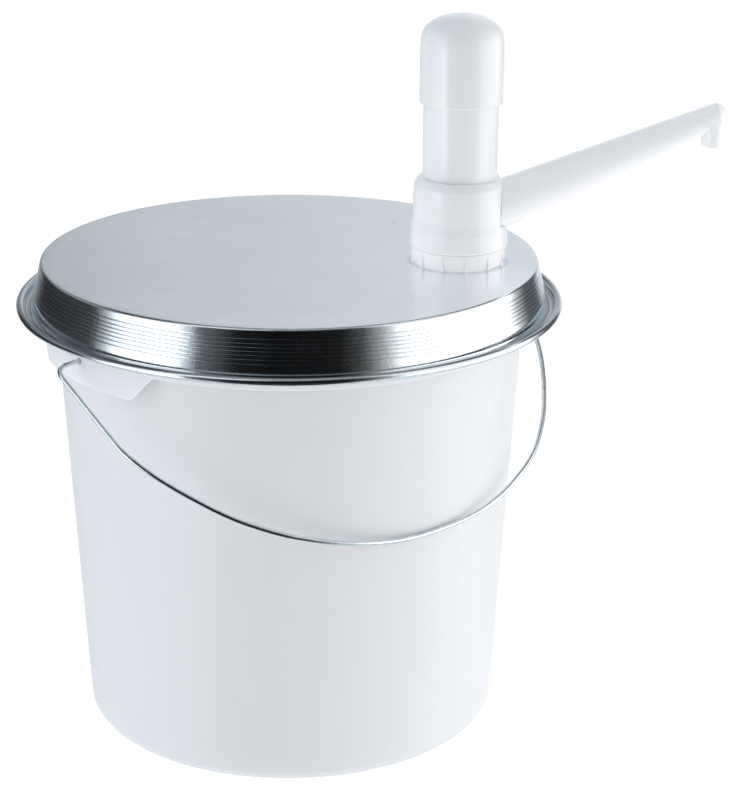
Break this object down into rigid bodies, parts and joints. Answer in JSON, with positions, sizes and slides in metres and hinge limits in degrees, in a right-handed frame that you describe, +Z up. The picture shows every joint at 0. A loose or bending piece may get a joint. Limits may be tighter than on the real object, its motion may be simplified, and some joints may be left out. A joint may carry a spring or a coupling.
{
  "type": "condiment pump dispenser",
  "caption": "Round plastic bucket with a wire handle and a loose steel lid, with a spring-return plunger pump and a long tapered spout clamped through the lid near its edge.",
  "frame": {"origin": "centre of the bucket's foot, on the floor plane", "axes": "+Z up along the bucket's axis; +X from the bucket's axis to the pump's axis; the handle hangs in front, towards -Y and +X"},
  "size_m": [0.3831, 0.2986, 0.3962],
  "materials": {
    "bucket_pp": "translucent white polypropylene, satin",
    "pump_pp": "white moulded polypropylene, semi-gloss",
    "lid_steel": "spun sheet steel, satin top and bright skirt",
    "wire_steel": "bright galvanised wire",
    "ball_steel": "polished stainless",
    "seal_rubber": "moulded nitrile"
  },
  "bodies": {
    "pail": {"bucket": "bucket_pp"},
    "handle": {"bail_handle": "wire_steel"},
    "lid_assembly": {"lid": "lid_steel", "pump_cylinder": "pump_pp", "lid_gasket": "seal_rubber", "clamp_nut": "pump_pp", "swivel_o_ring": "seal_rubber", "foot_valve_housing": "pump_pp", "foot_valve_o_ring": "seal_rubber", "inlet_ball_cage": "pump_pp", "suction_tube": "pump_pp"},
    "spout_head": {"spout_body": "pump_pp", "spout_arm": "pump_pp", "guide_tube": "pump_pp", "gland_ring": "pump_pp", "stem_seal": "seal_rubber", "return_spring": "wire_steel"},
    "plunger": {"push_cap": "pump_pp", "plunger_stem": "pump_pp", "piston": "pump_pp", "piston_seal": "seal_rubber", "outlet_ball_cage": "pump_pp"},
    "inlet_valve_ball": {"inlet_ball": "ball_steel"},
    "outlet_valve_ball": {"outlet_ball": "ball_steel"}
  },
  "joints": [
    {"name": "handle_swing", "type": "hinge", "parent": "pail", "child": "handle", "pos_m": [0, 0, 0.227], "axis": [-0.7273, -0.6863, 0], "range_deg": [0, 42]},
    {"name": "lid_lift", "type": "slide", "parent": "pail", "child": "lid_assembly", "axis": [0, 0, 1], "range_m": [0, 0.26]},
    {"name": "spout_swivel", "type": "hinge", "parent": "lid_assembly", "child": "spout_head", "pos_m": [0.09215, 0, 0.276], "axis": [0, 0, 1], "range_deg": [-90, 90]},
    {"name": "push", "type": "slide", "parent": "spout_head", "child": "plunger", "axis": [0, 0, -1], "range_m": [0, 0.03], "stiffness_N_per_m": 450, "springref_m": -0.02, "deforming": ["return_spring"]},
    {"name": "inlet_ball_lift", "type": "slide", "parent": "lid_assembly", "child": "inlet_valve_ball", "axis": [0, 0, 1], "range_m": [0, 0.004]},
    {"name": "outlet_ball_lift", "type": "slide", "parent": "plunger", "child": "outlet_valve_ball", "axis": [0, 0, 1], "range_m": [0, 0.004]}
  ]
}
